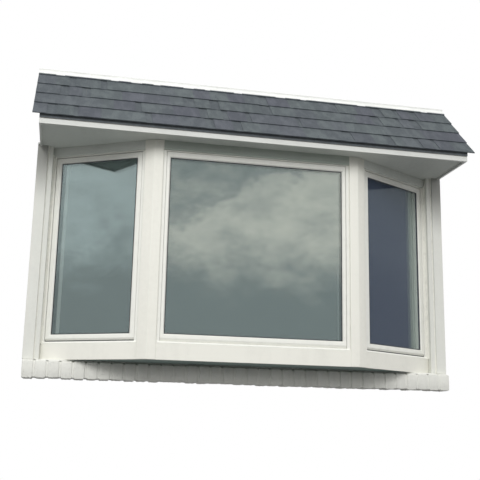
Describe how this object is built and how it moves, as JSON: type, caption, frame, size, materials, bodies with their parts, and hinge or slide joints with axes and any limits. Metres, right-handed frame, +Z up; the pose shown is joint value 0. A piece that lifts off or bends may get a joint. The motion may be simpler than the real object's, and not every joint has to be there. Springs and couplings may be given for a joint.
{
  "type": "bay window",
  "caption": "Bay window with a fixed centre light, angled side casements, white trim, a shingled lean-to roof and a brick-on-edge sill.",
  "frame": {"origin": "middle of the roof ledger's back face, on the wall's outer face", "axes": "+X to the right along the wall seen from outside, +Y into the wall, +Z up"},
  "size_m": [2.51, 0.5518, 1.7753],
  "materials": {
    "timber": "sawn softwood",
    "interior_board": "painted board, satin",
    "soffit_board": "white painted panel, matt",
    "trim": "white coated trim, satin",
    "frame_vinyl": "white extruded vinyl, satin",
    "glass": "clear insulating glass",
    "spacer_bar": "grey coated",
    "hardware": "white enamel",
    "shingle": "charcoal mineral granules",
    "drip_metal": "charcoal coated",
    "flashing": "white painted",
    "painted_brick": "white masonry paint, rough"
  },
  "bodies": {
    "root": {"roof_ledger": "timber", "rafters": "timber", "roof_deck": "timber", "seat_joists": "timber", "head_board": "interior_board", "seat_board": "interior_board", "left_wall_post": "interior_board", "right_wall_post": "interior_board", "left_corner_post": "interior_board", "right_corner_post": "interior_board", "soffit": "soffit_board", "seat_underside": "soffit_board", "fascia": "trim", "left_roof_end": "trim", "right_roof_end": "trim", "left_corner_cover": "trim", "left_casing": "trim", "left_jamb_moulding": "trim", "right_corner_cover": "trim", "right_casing": "trim", "right_jamb_moulding": "trim", "centre_apron": "trim", "centre_frieze": "trim", "left_apron": "trim", "left_frieze": "trim", "right_apron": "trim", "right_frieze": "trim", "centre_frame": "frame_vinyl", "centre_sash": "frame_vinyl", "left_frame": "frame_vinyl", "left_sash": "frame_vinyl", "right_frame": "frame_vinyl", "right_sash": "frame_vinyl", "centre_glass": "glass", "left_glass": "glass", "right_glass": "glass", "centre_spacer": "spacer_bar", "left_spacer": "spacer_bar", "right_spacer": "spacer_bar", "left_crank": "hardware", "right_crank": "hardware", "shingle_course_1": "shingle", "shingle_course_2": "shingle", "shingle_course_3": "shingle", "shingle_course_4": "shingle", "shingle_course_5": "shingle", "drip_edge": "drip_metal", "wall_flashing": "flashing", "brick_sill": "painted_brick"}
  },
  "joints": []
}
